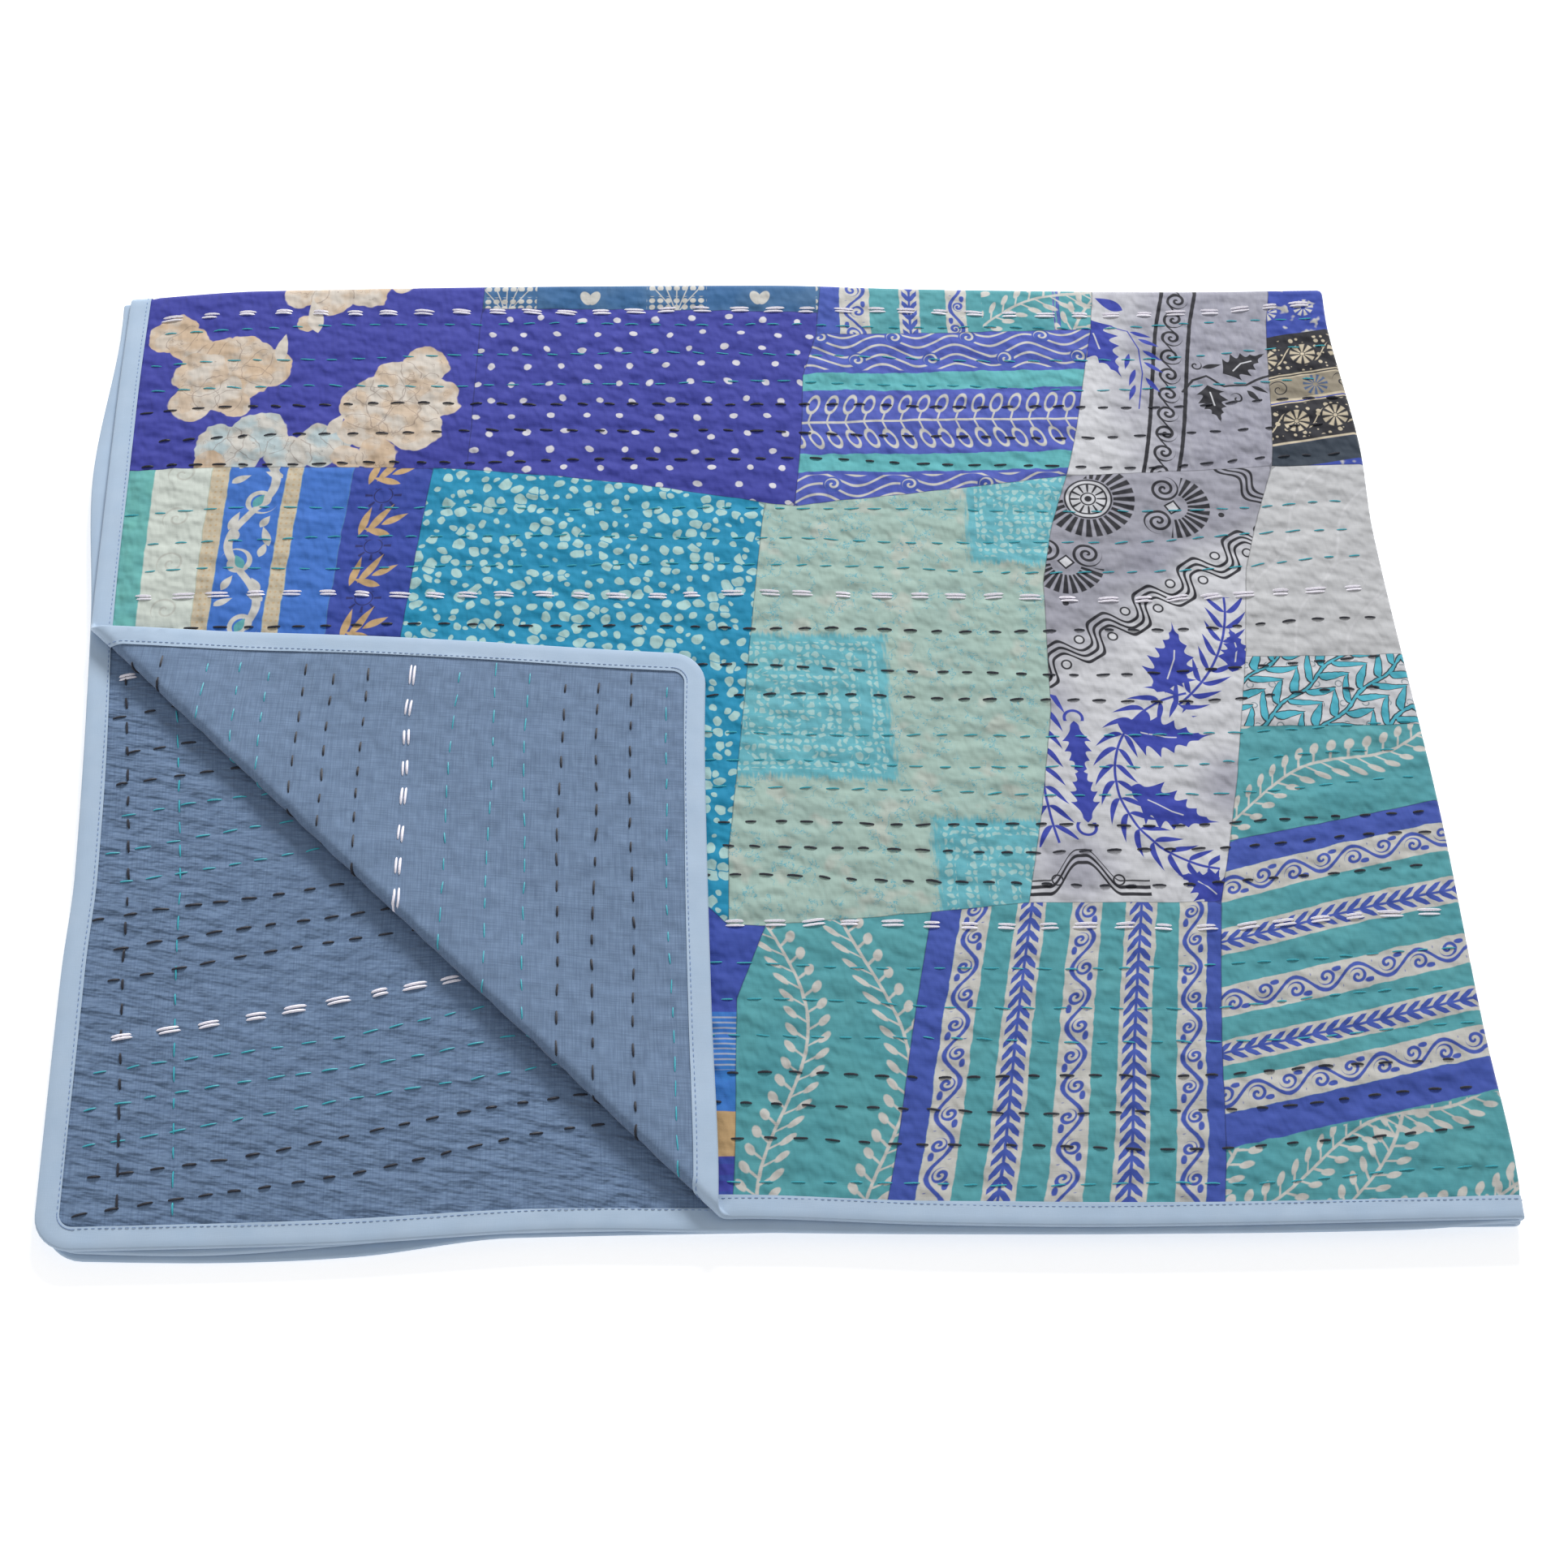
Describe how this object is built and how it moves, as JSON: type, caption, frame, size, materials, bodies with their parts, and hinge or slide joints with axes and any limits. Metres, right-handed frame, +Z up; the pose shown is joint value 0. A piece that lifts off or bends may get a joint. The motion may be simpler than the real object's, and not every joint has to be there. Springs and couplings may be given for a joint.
{
  "type": "folded patchwork quilt blanket",
  "caption": "Hand-quilted patchwork cotton throw with a plain backing and bound edges, folded flat into a rectangle with its top front corner turned back.",
  "frame": {"origin": "under the middle of the folded pile, on the surface that it lies on", "axes": "+X along the folded quilt's long side towards its folded right edge, +Y from the open front edge towards the back fold, +Z up"},
  "size_m": [0.7798, 0.645, 0.0213],
  "materials": {
    "patchwork_cotton": "matte printed cotton patches",
    "slate_cotton": "matte slubby plain weave cotton",
    "binding_cotton": "matte plain cotton tape",
    "stitch_thread": "matte cotton thread"
  },
  "bodies": {
    "root": {"patchwork_face": "patchwork_cotton", "slate_backing": "slate_cotton", "edge_binding": "binding_cotton"}
  },
  "joints": []
}
